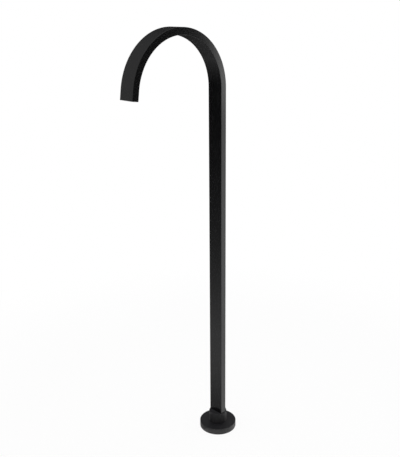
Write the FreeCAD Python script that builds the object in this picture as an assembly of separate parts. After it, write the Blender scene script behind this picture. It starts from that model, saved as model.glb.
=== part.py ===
# Floor standing bath filler: a rectangular tube rises from a round foot, bends forward through
# nearly a half circle and pours down. Millimetres. The origin is on the floor, at the centre
# of the foot. +Z runs up the column, and the arch reaches forward along -Y.
import FreeCAD, Part
import math
import os

# --- Sizes that are set one by one -------------------------------------------------------

# Rectangular tube of the column and the arch
TUBE_WIDTH = 40.0           # along X
TUBE_DEPTH = 16.0           # along Y on the column, radial on the arch
TUBE_WALL = 1.5
TUBE_CORNER = 0.7           # outer corner radius of the section
TUBE_INNER_CORNER = 0.5
SPRING_HEIGHT = 888.0       # floor to the arch's centre
ARCH_RADIUS = 127.0         # centre line of the bend
ARCH_SWEEP = 172.0          # degrees of bend
MOUTH_RUN = 22.0            # straight tube from the bend's end to the open mouth

# How far the shape of a cut runs past the face that it opens
CUT_PAST = 1.0

# Neck that the column's foot is brazed into
NECK_TOP = 44.5
NECK_RIM = 1.2              # metal left round the tube's corners
NECK_EDGE = 1.0             # bevel of the neck's top edge
NECK_SKIRT = 3.0            # wall round the lock nut
POCKET_DEPTH = 8.0          # how far the tube's foot goes in
BRAZE_GAP = 0.05

# Cover over the floor fixing
COVER_RADIUS = 47.0
COVER_HEIGHT = 15.5
COVER_WALL = 3.0
COVER_TOP_WALL = 3.0
COVER_EDGE = 0.8            # bevel of the cover's top edge
COVER_GAP = 0.3             # cover to neck, all round
COVER_BOSS_WALL = 2.0       # metal outside the O-ring groove
COVER_BOSS_DROP = 6.5       # boss height below the cover's top face
COVER_RING_SECTION = 2.3
COVER_RING_LAND = 2.2       # metal above and below that groove
SEAL_WIDTH = 1.5
SEAL_HEIGHT = 1.5

# Floor plate and its gasket
GASKET_THICKNESS = 2.0
GASKET_HOLE = 14.0          # radius, round the supply pipe
PLATE_THICKNESS = 6.0
PLATE_PLAY = 2.0            # plate to the cover's inside wall
PLATE_EDGE = 0.8
BOLT_CIRCLE = 33.0          # radius
BOLT_HOLE = 3.3             # radius
BOLT_COUNT = 4

# Spigot that the neck turns on
SPIGOT_RADIUS = 12.5
SPIGOT_BORE = 8.0           # radius
SPIGOT_FLANGE_FLATS = 30.0  # hexagon across flats
SPIGOT_FLANGE_HEIGHT = 3.0
SPIGOT_EDGE = 0.8
SPIGOT_HEADROOM = 0.5       # spigot's top to the tube's foot
FLATS_GAP = 0.2             # hexagon to its recess in the plate
SHANK_GAP = 0.2             # spigot to the plate's hole, radial
RUNNING_GAP = 0.05          # neck's bore to the spigot, radial
NUT_HEIGHT = 5.0
NUT_HEADROOM = 1.0
NUT_SIDE_GAP = 1.0
THREAD_GAP = 0.05

# O-rings of the spigot, drawn at the height they are squeezed to
SPIGOT_RING_GROOVE = 2.1    # depth
SPIGOT_RING_WIDTH = 3.0     # groove width
SPIGOT_RING_LAND = 2.2      # metal above the upper groove and between the two
RING_FREE_GAP = 0.04        # ring to the wall that slides over it

# Washer between the neck and the plate
SLIP_THICKNESS = 1.0
SLIP_INSET = 0.25           # washer's edges inside the neck's rim

# Grub screws in the back of the neck
GRUB_RADIUS = 2.5
GRUB_LENGTH = 10.0
GRUB_HEIGHT = 21.0
GRUB_HALF_ANGLE = 30.0      # each side of straight back
GRUB_GROOVE_DEPTH = 1.2
GRUB_GROOVE_SIDE = 0.4      # groove to the screw, above and below
GRUB_TIP_GAP = 0.3
GRUB_TIP_BEVEL = 0.7
GRUB_SOCKET_FLATS = 2.5
GRUB_SOCKET_DEPTH = 3.0

# Supply inlet in the spigot's foot
INLET_RADIUS = 9.3          # core of a half inch pipe thread
INLET_LENGTH = 10.0
INLET_RELIEF = 0.5          # wider round stretch beyond the thread
WASHER_THICKNESS = 1.8
WASHER_HOLE = 6.0           # radius
WASHER_PLAY = 0.1
STRAINER_RIM = 0.5          # sheet thickness of the strainer
STRAINER_RISE = 5.0
STRAINER_PLAY = 0.8         # cup to the spigot's bore
STRAINER_HOLE = 0.6         # radius
STRAINER_PITCH = 2.2

# Outlet in the tube's mouth
FRAME_LENGTH = 13.0
FRAME_RECESS = 0.5
FRAME_WALL = 1.2
GRID_HEIGHT = 4.5
GRID_PLAY = 0.1
GRID_RECESS = 1.0
GRID_CELL = 2.2
GRID_WEB = 0.8
SCREEN_THICKNESS = 0.5
SCREEN_HOLE = 0.5           # radius
SCREEN_PITCH = 1.6
OUTLET_GASKET_THICKNESS = 1.0
WATER_END_LAND = 0.8        # between the water's opening and a screw's head
WATER_SIDE_LAND = 1.1       # ledge along the opening's long sides
OUTLET_SCREW_RADIUS = 1.0
OUTLET_SCREW_HEAD = 1.9     # radius
OUTLET_SCREW_LENGTH = 9.0
OUTLET_SCREW_INSET = 2.3    # screw to the pocket's end
OUTLET_SCREW_SOCKET = 1.3   # across flats
OUTLET_SCREW_HOLE_GAP = 0.1

# --- Sizes that follow from those --------------------------------------------------------

corner_reach = math.hypot(TUBE_WIDTH / 2 - TUBE_CORNER, TUBE_DEPTH / 2 - TUBE_CORNER) + TUBE_CORNER
neck_radius = corner_reach + NECK_RIM
pocket_floor = NECK_TOP - POCKET_DEPTH
spigot_top = pocket_floor - SPIGOT_HEADROOM

plate_low = GASKET_THICKNESS
plate_top = plate_low + PLATE_THICKNESS
plate_radius = COVER_RADIUS - COVER_WALL - PLATE_PLAY
neck_bottom = plate_top + SLIP_THICKNESS

socket_radius = SPIGOT_RADIUS + RUNNING_GAP
nut_room = neck_radius - NECK_SKIRT
nut_flats = (nut_room - NUT_SIDE_GAP) * math.sqrt(3)
nut_room_top = plate_top + NUT_HEIGHT + NUT_HEADROOM

ring_floor = SPIGOT_RADIUS - SPIGOT_RING_GROOVE
ring_section = (socket_radius - RING_FREE_GAP - ring_floor) / 2
ring_upper = spigot_top - SPIGOT_RING_LAND - SPIGOT_RING_WIDTH / 2
ring_lower = ring_upper - SPIGOT_RING_WIDTH - SPIGOT_RING_LAND

grub_floor = SPIGOT_RADIUS - GRUB_GROOVE_DEPTH
grub_tip = grub_floor + GRUB_TIP_GAP
grub_groove_half = GRUB_RADIUS + GRUB_GROOVE_SIDE
grub_angles = (90 - GRUB_HALF_ANGLE, 90 + GRUB_HALF_ANGLE)

cover_hole = neck_radius + COVER_GAP
cover_ring_inner = neck_radius + RING_FREE_GAP
cover_groove = cover_ring_inner + COVER_RING_SECTION
cover_boss = cover_groove + COVER_BOSS_WALL
cover_boss_low = COVER_HEIGHT - COVER_BOSS_DROP
cover_ring_height = cover_boss_low + COVER_RING_LAND + COVER_RING_SECTION / 2

inlet_low = plate_low
thread_top = inlet_low + INLET_LENGTH
inlet_shoulder = thread_top + WASHER_THICKNESS + STRAINER_RIM

inside_width = TUBE_WIDTH - 2 * TUBE_WALL
inside_depth = TUBE_DEPTH - 2 * TUBE_WALL
sweep = math.radians(ARCH_SWEEP)
mouth_y = ARCH_RADIUS * (math.cos(sweep) - 1) - MOUTH_RUN * math.sin(sweep)
mouth_height = SPRING_HEIGHT + ARCH_RADIUS * math.sin(sweep) + MOUTH_RUN * math.cos(sweep)
pocket_width = inside_width - 2 * FRAME_WALL
pocket_depth = inside_depth - 2 * FRAME_WALL
grid_low = GRID_RECESS      # this and the next three: from the mouth's plane, up the tube
grid_top = grid_low + GRID_HEIGHT
screen_top = grid_top + SCREEN_THICKNESS
outlet_gasket_top = screen_top + OUTLET_GASKET_THICKNESS
slab_width = pocket_width - 2 * GRID_PLAY
slab_depth = pocket_depth - 2 * GRID_PLAY
screw_spread = pocket_width / 2 - OUTLET_SCREW_INSET
water_width = 2 * (screw_spread - OUTLET_SCREW_HEAD - WATER_END_LAND)
water_depth = pocket_depth - 2 * WATER_SIDE_LAND


# --- Shapes used by more than one piece --------------------------------------------------

def vec(x, y, z):
    return FreeCAD.Vector(x, y, z)


def disc(radius, low, high):
    return Part.makeCylinder(radius, high - low, vec(0, 0, low))


def ring(outer, inner, low, high):
    return disc(outer, low, high).cut(disc(inner, low, high))


def turned(points):
    """A body turned about the column's axis from (radius, height) points."""
    corners = [vec(radius, 0, height) for radius, height in points]
    face = Part.Face(Part.makePolygon(corners + corners[:1]))
    return face.revolve(vec(0, 0, 0), vec(0, 0, 1), 360)


def torus(radius, section, height):
    return Part.makeTorus(radius, section, vec(0, 0, height))


def hexagon(flats, low, high):
    """A hexagonal prism on the column's axis, with two corners on X."""
    corner = flats / math.sqrt(3)
    turns = [math.radians(60 * step) for step in range(7)]
    outline = [vec(corner * math.cos(turn), corner * math.sin(turn), low) for turn in turns]
    return Part.Face(Part.makePolygon(outline)).extrude(vec(0, 0, high - low))


def rounded_rectangle(width, depth, corner, height):
    """A level face with round corners, centred on the column's axis."""
    plate = Part.makePlane(width, depth, vec(-width / 2, -depth / 2, height))
    block = plate.extrude(vec(0, 0, 1))
    upright = [edge for edge in block.Edges if abs(edge.Vertexes[0].Z - edge.Vertexes[-1].Z) > 0.5]
    rounded = block.makeFillet(corner, upright)
    return min(rounded.Faces, key=lambda face: face.CenterOfMass.z)


def slab(width, depth, low, high):
    """A rectangular block, centred on the column's axis."""
    return Part.makeBox(width, depth, high - low, vec(-width / 2, -depth / 2, low))


def in_mouth(shape):
    """Carries a shape from the origin to the mouth, where +Z points up the leaning tube."""
    moved = shape.copy()
    moved.rotate(vec(0, 0, 0), vec(1, 0, 0), ARCH_SWEEP - 180)
    moved.translate(vec(0, mouth_y, mouth_height))
    return moved


def hexagon_key(flats, depth):
    """The hollow that a hexagon key fits, from the origin along +Z."""
    return hexagon(flats, 0, depth)


# --- Floor fixing ------------------------------------------------------------------------

def bolt_holes(low, high):
    """The four floor screw holes, between the X and Y axes."""
    holes = []
    for step in range(BOLT_COUNT):
        turn = math.radians((step + 0.5) * 360 / BOLT_COUNT)
        place = vec(BOLT_CIRCLE * math.cos(turn), BOLT_CIRCLE * math.sin(turn), low)
        holes.append(Part.makeCylinder(BOLT_HOLE, high - low, place))
    return holes


def floor_gasket():
    return ring(plate_radius, GASKET_HOLE, 0, GASKET_THICKNESS).cut(bolt_holes(0, GASKET_THICKNESS))


def floor_plate():
    body = turned([
        (0, plate_low),
        (plate_radius, plate_low),
        (plate_radius, plate_top - PLATE_EDGE),
        (plate_radius - PLATE_EDGE, plate_top),
        (0, plate_top),
    ])
    recess = hexagon(SPIGOT_FLANGE_FLATS + 2 * FLATS_GAP, plate_low, plate_low + SPIGOT_FLANGE_HEIGHT)
    middle = disc(SPIGOT_RADIUS + SHANK_GAP, plate_low, plate_top)
    return body.cut([recess, middle] + bolt_holes(plate_low, plate_top))


def spigot():
    """Hollow post: hexagon foot in the plate, retaining groove, two O-ring grooves."""
    shank = turned([
        (0, inlet_low),
        (SPIGOT_RADIUS, inlet_low),
        (SPIGOT_RADIUS, spigot_top - SPIGOT_EDGE),
        (SPIGOT_RADIUS - SPIGOT_EDGE, spigot_top),
        (0, spigot_top),
    ])
    foot = hexagon(SPIGOT_FLANGE_FLATS, plate_low, plate_low + SPIGOT_FLANGE_HEIGHT)
    outer = SPIGOT_RADIUS + CUT_PAST
    half = SPIGOT_RING_WIDTH / 2
    hollows = [
        ring(outer, grub_floor, GRUB_HEIGHT - grub_groove_half, GRUB_HEIGHT + grub_groove_half),
        ring(outer, ring_floor, ring_lower - half, ring_lower + half),
        ring(outer, ring_floor, ring_upper - half, ring_upper + half),
        disc(INLET_RADIUS, inlet_low, thread_top),
        disc(INLET_RADIUS + INLET_RELIEF, thread_top, inlet_shoulder),
        disc(SPIGOT_BORE, inlet_shoulder, spigot_top),
    ]
    return shank.fuse(foot).cut(hollows)


def lock_nut():
    body = hexagon(nut_flats, plate_top, plate_top + NUT_HEIGHT)
    return body.cut(disc(SPIGOT_RADIUS + THREAD_GAP, plate_top, plate_top + NUT_HEIGHT))


def spigot_orings():
    middle = ring_floor + ring_section
    return Part.makeCompound([torus(middle, ring_section, height) for height in (ring_lower, ring_upper)])


def slip_washer():
    return ring(neck_radius - SLIP_INSET, nut_room + SLIP_INSET, plate_top, neck_bottom)


def inlet_washer():
    outer = INLET_RADIUS + INLET_RELIEF - WASHER_PLAY
    return ring(outer, WASHER_HOLE, thread_top, thread_top + WASHER_THICKNESS)


def inlet_strainer():
    """Perforated cup in the spigot's bore, held by its rim between washer and shoulder."""
    low = thread_top + WASHER_THICKNESS
    cup = SPIGOT_BORE - STRAINER_PLAY
    top = low + STRAINER_RISE
    inside = cup - STRAINER_RIM
    rim = ring(INLET_RADIUS + INLET_RELIEF - WASHER_PLAY, inside, low, low + STRAINER_RIM)
    wall = ring(cup, inside, low, top)
    lid = disc(cup, top - STRAINER_RIM, top)
    reach = int(inside / STRAINER_PITCH)
    holes = []
    for row in range(-reach, reach + 1):
        for place in range(-reach, reach + 1):
            x = (place + row / 2) * STRAINER_PITCH
            y = row * STRAINER_PITCH * math.sqrt(3) / 2
            if math.hypot(x, y) < inside - 2 * STRAINER_HOLE:
                low_end = vec(x, y, top - STRAINER_RIM)
                holes.append(Part.makeCylinder(STRAINER_HOLE, STRAINER_RIM, low_end))
    return rim.fuse([wall, lid]).removeSplitter().cut(holes)


# --- Column ------------------------------------------------------------------------------

def bent_bar(width, depth, corner):
    """A solid bar of the given section, up the column, over the bend and on to the mouth."""
    foot = rounded_rectangle(width, depth, corner, pocket_floor)
    upright = foot.extrude(vec(0, 0, SPRING_HEIGHT - pocket_floor))
    top = rounded_rectangle(width, depth, corner, SPRING_HEIGHT)
    bend = top.revolve(vec(0, -ARCH_RADIUS, SPRING_HEIGHT), vec(1, 0, 0), ARCH_SWEEP)
    run = rounded_rectangle(width, depth, corner, 0).extrude(vec(0, 0, MOUTH_RUN))
    return upright.fuse([bend, in_mouth(run)]).removeSplitter()


def spout_tube():
    outside = bent_bar(TUBE_WIDTH, TUBE_DEPTH, TUBE_CORNER)
    inside = bent_bar(inside_width, inside_depth, TUBE_INNER_CORNER)
    return outside.cut(inside)


def placed_grub(shape, angle):
    """Turns a shape made along +Z from the origin to point outwards at the grub screws' height."""
    moved = shape.copy()
    moved.rotate(vec(0, 0, 0), vec(0, 1, 0), 90)
    moved.rotate(vec(0, 0, 0), vec(0, 0, 1), angle)
    moved.translate(vec(0, 0, GRUB_HEIGHT))
    return moved


def base_socket():
    """Turned neck: room for the nut, bore over the spigot, pocket for the tube's foot."""
    body = turned([
        (0, neck_bottom),
        (neck_radius, neck_bottom),
        (neck_radius, NECK_TOP - NECK_EDGE),
        (neck_radius - NECK_EDGE, NECK_TOP),
        (0, NECK_TOP),
    ])
    corner = TUBE_CORNER + BRAZE_GAP
    width = TUBE_WIDTH + 2 * BRAZE_GAP
    depth = TUBE_DEPTH + 2 * BRAZE_GAP
    pocket = rounded_rectangle(width, depth, corner, pocket_floor).extrude(vec(0, 0, POCKET_DEPTH))
    cross_hole = Part.makeCylinder(GRUB_RADIUS + THREAD_GAP, neck_radius + CUT_PAST)
    hollows = [
        disc(nut_room, neck_bottom, nut_room_top),
        disc(socket_radius, nut_room_top, pocket_floor),
        pocket,
    ]
    hollows += [placed_grub(cross_hole, angle) for angle in grub_angles]
    return body.cut(hollows)


def grub_screws():
    """Two socket set screws with bevelled tips, drawn just clear of the groove's floor."""
    shoulder = vec(0, 0, grub_tip + GRUB_TIP_BEVEL)
    blank = Part.makeCylinder(GRUB_RADIUS, GRUB_LENGTH - GRUB_TIP_BEVEL, shoulder)
    tip = Part.makeCone(GRUB_RADIUS - GRUB_TIP_BEVEL, GRUB_RADIUS, GRUB_TIP_BEVEL, vec(0, 0, grub_tip))
    key = hexagon_key(GRUB_SOCKET_FLATS, GRUB_SOCKET_DEPTH)
    key.translate(vec(0, 0, grub_tip + GRUB_LENGTH - GRUB_SOCKET_DEPTH))
    screw = blank.fuse(tip).cut(key)
    return Part.makeCompound([placed_grub(screw, angle) for angle in grub_angles])


# --- Outlet: made on the column's axis with the mouth's plane at height zero, then placed -----

def screw_places():
    return [-screw_spread, screw_spread]


def screw_holes(radius, low, high):
    return [Part.makeCylinder(radius, high - low, vec(x, 0, low)) for x in screw_places()]


def outlet_frame():
    """Brazed into the mouth: a pocket for the grid, and a ledge with the tapped holes."""
    section = rounded_rectangle(inside_width, inside_depth, TUBE_INNER_CORNER, FRAME_RECESS)
    body = section.extrude(vec(0, 0, FRAME_LENGTH - FRAME_RECESS))
    pocket = slab(pocket_width, pocket_depth, -CUT_PAST, outlet_gasket_top)
    water = slab(water_width, water_depth, -CUT_PAST, FRAME_LENGTH + CUT_PAST)
    screw_top = grid_low + OUTLET_SCREW_LENGTH + OUTLET_SCREW_HOLE_GAP
    holes = screw_holes(OUTLET_SCREW_RADIUS + THREAD_GAP, 0, screw_top)
    return in_mouth(body.cut([pocket, water] + holes))


def outlet_gasket():
    body = slab(slab_width, slab_depth, screen_top, outlet_gasket_top)
    water = slab(water_width, water_depth, screen_top, outlet_gasket_top)
    clearance = OUTLET_SCREW_RADIUS + OUTLET_SCREW_HOLE_GAP
    return in_mouth(body.cut([water] + screw_holes(clearance, screen_top, outlet_gasket_top)))


def spread(span, pitch, size):
    """Middles of as many openings as fit in a span at a pitch, centred on zero."""
    count = math.floor((span - size) / pitch) + 1
    return [(step - (count - 1) / 2) * pitch for step in range(count)]


def outlet_screen():
    body = slab(slab_width, slab_depth, grid_top, screen_top)
    holes = []
    for x in spread(water_width, SCREEN_PITCH, 2 * SCREEN_HOLE):
        for y in spread(water_depth, SCREEN_PITCH, 2 * SCREEN_HOLE):
            holes.append(Part.makeCylinder(SCREEN_HOLE, SCREEN_THICKNESS, vec(x, y, grid_top)))
    clearance = OUTLET_SCREW_RADIUS + OUTLET_SCREW_HOLE_GAP
    return in_mouth(body.cut(holes + screw_holes(clearance, grid_top, screen_top)))


def flow_straightener():
    """Moulded block of square cells, with a countersunk hole at each end."""
    body = slab(slab_width, slab_depth, grid_low, grid_top)
    pitch = GRID_CELL + GRID_WEB
    cells = []
    for x in spread(water_width, pitch, GRID_CELL):
        for y in spread(water_depth, pitch, GRID_CELL):
            corner = vec(x - GRID_CELL / 2, y - GRID_CELL / 2, grid_low)
            cells.append(Part.makeBox(GRID_CELL, GRID_CELL, GRID_HEIGHT, corner))
    shank = OUTLET_SCREW_RADIUS + OUTLET_SCREW_HOLE_GAP
    head = OUTLET_SCREW_HEAD + OUTLET_SCREW_HOLE_GAP
    sinks = [Part.makeCone(head, shank, head - shank, vec(x, 0, grid_low)) for x in screw_places()]
    return in_mouth(body.cut(cells + sinks + screw_holes(shank, grid_low, grid_top)))


def outlet_screws():
    """Two countersunk socket screws, heads down, flush with the grid."""
    screws = []
    head_height = OUTLET_SCREW_HEAD - OUTLET_SCREW_RADIUS
    for x in screw_places():
        foot = vec(x, 0, grid_low)
        head = Part.makeCone(OUTLET_SCREW_HEAD, OUTLET_SCREW_RADIUS, head_height, foot)
        shank = Part.makeCylinder(OUTLET_SCREW_RADIUS, OUTLET_SCREW_LENGTH, foot)
        key = hexagon_key(OUTLET_SCREW_SOCKET, OUTLET_SCREW_HEAD / 2)
        key.translate(foot)
        screws.append(head.fuse(shank).cut(key))
    return in_mouth(Part.makeCompound(screws))


# --- Cover -------------------------------------------------------------------------------

def cover_flange():
    """Turned shell: an open underside over the plate, and a boss round the neck."""
    roof = COVER_HEIGHT - COVER_TOP_WALL
    inner = COVER_RADIUS - COVER_WALL
    body = turned([
        (cover_hole, cover_boss_low),
        (cover_boss, cover_boss_low),
        (cover_boss, roof),
        (inner, roof),
        (inner, SEAL_HEIGHT),
        (inner + SEAL_WIDTH, SEAL_HEIGHT),
        (inner + SEAL_WIDTH, 0),
        (COVER_RADIUS, 0),
        (COVER_RADIUS, COVER_HEIGHT - COVER_EDGE),
        (COVER_RADIUS - COVER_EDGE, COVER_HEIGHT),
        (cover_hole, COVER_HEIGHT),
    ])
    half = COVER_RING_SECTION / 2
    groove = ring(cover_groove, cover_hole, cover_ring_height - half, cover_ring_height + half)
    return body.cut(groove)


def cover_oring():
    half = COVER_RING_SECTION / 2
    return torus(cover_ring_inner + half, half, cover_ring_height)


def cover_seal():
    inner = COVER_RADIUS - COVER_WALL
    return ring(inner + SEAL_WIDTH, inner, 0, SEAL_HEIGHT)


# --- Write every piece -------------------------------------------------------------------

pieces = [
    floor_gasket, floor_plate, spigot, lock_nut, spigot_orings, slip_washer, inlet_washer,
    inlet_strainer, spout_tube, base_socket, grub_screws, outlet_frame, outlet_gasket,
    outlet_screen, flow_straightener, outlet_screws, cover_flange, cover_oring, cover_seal,
]
os.makedirs("parts", exist_ok=True)
for piece in pieces:
    shape = piece()
    shape.exportStep("parts/" + piece.__name__ + ".step")
    box = shape.BoundBox
    print(piece.__name__, "solids", len(shape.Solids), "valid", shape.isValid(),
          "volume", round(shape.Volume), "z", round(box.ZMin, 2), round(box.ZMax, 2))
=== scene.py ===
# Floor standing bath filler, dressed for its portrait. Metres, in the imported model's own frame:
# +Z up the column, -Y forward to the mouth, origin on the floor under the column.
import math

import bmesh
import bpy
from mathutils import Matrix, Vector


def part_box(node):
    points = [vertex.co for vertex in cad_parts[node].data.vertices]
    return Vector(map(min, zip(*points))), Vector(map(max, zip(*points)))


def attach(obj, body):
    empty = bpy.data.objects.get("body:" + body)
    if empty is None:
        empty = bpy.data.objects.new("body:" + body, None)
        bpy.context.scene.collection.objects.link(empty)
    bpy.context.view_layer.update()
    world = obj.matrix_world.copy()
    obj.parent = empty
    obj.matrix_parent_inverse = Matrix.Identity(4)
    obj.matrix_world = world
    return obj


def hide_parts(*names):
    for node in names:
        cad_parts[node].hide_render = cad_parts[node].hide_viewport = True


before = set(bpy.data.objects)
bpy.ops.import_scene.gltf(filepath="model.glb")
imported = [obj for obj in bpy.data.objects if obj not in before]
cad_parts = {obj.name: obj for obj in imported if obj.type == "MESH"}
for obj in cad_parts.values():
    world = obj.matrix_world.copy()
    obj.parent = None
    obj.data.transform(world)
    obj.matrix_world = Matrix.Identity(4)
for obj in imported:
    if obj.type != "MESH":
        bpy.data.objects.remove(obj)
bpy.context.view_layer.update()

scene = bpy.context.scene

# --- Camera -----------------------------------------------------------------------------
# The photograph's view: from in front and to the right of the arch, a little above the crown,
# with a short telephoto lens and half a degree of roll.
VIEW_AZIMUTH = math.radians(45.369)
VIEW_ELEVATION = math.radians(18.64)
VIEW_ROLL = math.radians(-0.595)
VIEW_DISTANCE = 1.6967
VIEW_TARGET = Vector((-0.06018, 0, 0.53704))
LENS_MM = 53.89
SENSOR_MM = 36.0

level = math.cos(VIEW_ELEVATION)
back = Vector((math.sin(VIEW_AZIMUTH) * level, -math.cos(VIEW_AZIMUTH) * level, math.sin(VIEW_ELEVATION)))
across = Vector((math.cos(VIEW_AZIMUTH), math.sin(VIEW_AZIMUTH), 0))
turned_view = Matrix((across, back.cross(across), back)).transposed() @ Matrix.Rotation(VIEW_ROLL, 3, "Z")
camera = bpy.data.objects.new("camera", bpy.data.cameras.new("camera"))
camera.data.lens = LENS_MM
camera.data.sensor_width = SENSOR_MM
camera.matrix_world = Matrix.Translation(VIEW_TARGET + back * VIEW_DISTANCE) @ turned_view.to_4x4()
scene.collection.objects.link(camera)
scene.camera = camera


# --- Floor gasket -----------------------------------------------------------------------
# A disc of black rubber between the floor and the plate, punched from sheet, with a hole for the
# supply pipe and four for the screws. Its matt face scatters nearly all light, and the rollers
# leave a fine tooth.
RUBBER = "#141414"
RUBBER_TOOTH = 0.0006       # metres from one speck to the next
PIPE_HOLE = 0.0140          # radius
SCREW_CIRCLE = 0.0330       # radius that the four floor screws stand on
SCREW_HOLE = 0.0033         # radius
SCREW_TURNS = [math.radians(turn) for turn in (45, 135, 225, 315)]
PUNCHED_EDGE = 0.0002
SHARP = math.radians(35)    # a steeper fold than this is an edge
TURNED_STEPS = 180
HOLE_SIDES = 48


def linear(hex_colour):
    """An sRGB hex colour in linear light, with an alpha of one."""
    shares = [int(hex_colour[place:place + 2], 16) / 255 for place in (1, 3, 5)]
    return [c / 12.92 if c <= 0.04045 else ((c + 0.055) / 1.055) ** 2.4 for c in shares] + [1.0]


def add(tree, kind, sockets=(), **settings):
    """Adds a node to a tree, with its settings and with a value or a link for each named socket."""
    node = tree.nodes.new(kind)
    for name, value in settings.items():
        setattr(node, name, value)
    for name, value in dict(sockets).items():
        if isinstance(value, bpy.types.NodeSocket):
            tree.links.new(value, node.inputs[name])
        else:
            node.inputs[name].default_value = value
    return node


def new_finish(name):
    """A material with an empty tree."""
    finish = bpy.data.materials.new(name)
    finish.use_nodes = True
    finish.node_tree.nodes.clear()
    return finish, finish.node_tree


def outline_points(corners, steps=6):
    """A closed outline from corners, each with its rounding."""
    points = []
    for index, (x, y, rounding) in enumerate(corners):
        here = Vector((x, y))
        if rounding == 0:
            points.append(here)
            continue
        to_last = (Vector(corners[index - 1][:2]) - here).normalized()
        to_next = (Vector(corners[(index + 1) % len(corners)][:2]) - here).normalized()
        half = to_last.angle(to_next) / 2
        centre = here + (to_last + to_next).normalized() * rounding / math.sin(half)
        start = here + to_last * rounding / math.tan(half) - centre
        end = here + to_next * rounding / math.tan(half) - centre
        for step in range(steps + 1):
            points.append(centre + start.slerp(end, step / steps).normalized() * rounding)
    return points


def tidy_faces(mesh):
    """Welds doubles, points every face outwards, and shades smooth between the sharp folds."""
    shape = bmesh.new()
    shape.from_mesh(mesh)
    bmesh.ops.remove_doubles(shape, verts=shape.verts, dist=0.000001)
    bmesh.ops.recalc_face_normals(shape, faces=shape.faces)
    if shape.calc_volume(signed=True) < 0:
        bmesh.ops.reverse_faces(shape, faces=shape.faces)
    shape.to_mesh(mesh)
    shape.free()
    mesh.shade_smooth()
    mesh.set_sharp_from_angle(angle=SHARP)


def new_shape(points, edges=(), faces=()):
    """An object that is still being worked on."""
    mesh = bpy.data.meshes.new("blank")
    mesh.from_pydata(points, edges, faces)
    shape = bpy.data.objects.new("blank", mesh)
    scene.collection.objects.link(shape)
    return shape


def settled(shape):
    """The same object with a plain, tidy mesh in place of its modifiers."""
    graph = bpy.context.evaluated_depsgraph_get()
    mesh = bpy.data.meshes.new_from_object(shape.evaluated_get(graph), depsgraph=graph)
    shape.modifiers.clear()
    shape.data = mesh
    tidy_faces(mesh)
    return shape


def turned(corners):
    """A ring turned about the column's axis from its (radius, height, rounding) corners."""
    points = [(point.x, 0, point.y) for point in outline_points(corners)]
    ring = new_shape(points, [(i, (i + 1) % len(points)) for i in range(len(points))])
    lathe = ring.modifiers.new("lathe", "SCREW")
    lathe.steps = lathe.render_steps = TURNED_STEPS
    lathe.use_merge_vertices = True
    return settled(ring)


def prism(corners, low, high):
    """A level block with the given outline, from one height to another."""
    outline = outline_points(corners)
    count = len(outline)
    block = new_shape(
        [(point.x, point.y, height) for height in (low, high) for point in outline], [],
        [tuple(range(count)), tuple(range(2 * count - 1, count - 1, -1))]
        + [(i, (i + 1) % count, (i + 1) % count + count, i + count) for i in range(count)])
    return settled(block)


def regular(radius, sides, x=0.0, y=0.0):
    """The corners of a regular outline, the first on its +X side."""
    turns = [math.tau * side / sides for side in range(sides)]
    return [(x + radius * math.cos(turn), y + radius * math.sin(turn), 0) for turn in turns]


def screw_holes(low, high):
    """What the drill takes out of the gasket and the plate for the floor screws."""
    places = [(SCREW_CIRCLE * math.cos(turn), SCREW_CIRCLE * math.sin(turn)) for turn in SCREW_TURNS]
    return [prism(regular(SCREW_HOLE, HOLE_SIDES, x, y), low, high) for x, y in places]


def worked(shape, tools, operation="DIFFERENCE"):
    """Cuts other solids out of a shape, or joins them to it, and clears them away."""
    for tool in tools:
        work = shape.modifiers.new("work", "BOOLEAN")
        work.operation = operation
        work.solver = "EXACT"
        work.object = tool
    settled(shape)
    for tool in tools:
        bpy.data.objects.remove(tool)
    return shape


def finished(shape, name, finish, edge=0.0):
    """Names a piece, rounds its sharp edges, and gives it its finish."""
    if edge:
        rounding = shape.modifiers.new("rounded_edges", "BEVEL")
        rounding.width = edge
        rounding.segments = 3
        rounding.limit_method = "ANGLE"
        rounding.angle_limit = math.radians(60)
        settled(shape)
    shape.name = shape.data.name = name
    shape.data.materials.clear()
    shape.data.materials.append(finish)
    flat = shape.modifiers.new("flat_faces_stay_flat", "WEIGHTED_NORMAL")
    flat.keep_sharp = True
    return shape


black_rubber, tree = new_finish("rolled_black_rubber")
place = add(tree, "ShaderNodeTexCoord").outputs["Object"]
tooth = add(tree, "ShaderNodeTexNoise", {"Vector": place, "Scale": 1 / RUBBER_TOOTH, "Detail": 2.0})
relief = add(tree, "ShaderNodeBump", {"Height": tooth.outputs["Fac"], "Strength": 0.25, "Distance": 0.00005})
shade = add(tree, "ShaderNodeBsdfPrincipled", {
    "Base Color": linear(RUBBER),
    "Roughness": 0.75,
    "IOR": 1.52,
    "Normal": relief.outputs["Normal"],
})
add(tree, "ShaderNodeOutputMaterial", {"Surface": shade.outputs["BSDF"]})

gasket_low, gasket_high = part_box("floor_gasket")
sheet = turned([
    (PIPE_HOLE, gasket_low.z, 0),
    (gasket_high.x, gasket_low.z, 0),
    (gasket_high.x, gasket_high.z, 0),
    (PIPE_HOLE, gasket_high.z, 0),
])
sheet = worked(sheet, screw_holes(gasket_low.z - gasket_high.z, 2 * gasket_high.z))
gasket = finished(sheet, "gasket_sheet", black_rubber, PUNCHED_EDGE)
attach(gasket, "floor_kit")
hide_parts("floor_gasket")


# --- Floor plate ------------------------------------------------------------------------
# A round stainless plate that four screws hold to the floor, turned from bar and drilled, with a
# hexagon recess below that keeps the spigot from turning. The tool leaves fine rings round its
# centre, which stretch the highlights across them.
STAINLESS = "#B9B7B2"
TURNED_RINGS = 0.0004       # coarser than the real feed of 0.1 mm, so that it shows
PLATE_EDGE = 0.0008
PLATE_HOLE = 0.0127         # radius
RECESS_FLAT = 0.0152        # from the axis to a flat
RECESS_DEPTH = 0.0030
DRILLED_EDGE = 0.0003

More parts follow.
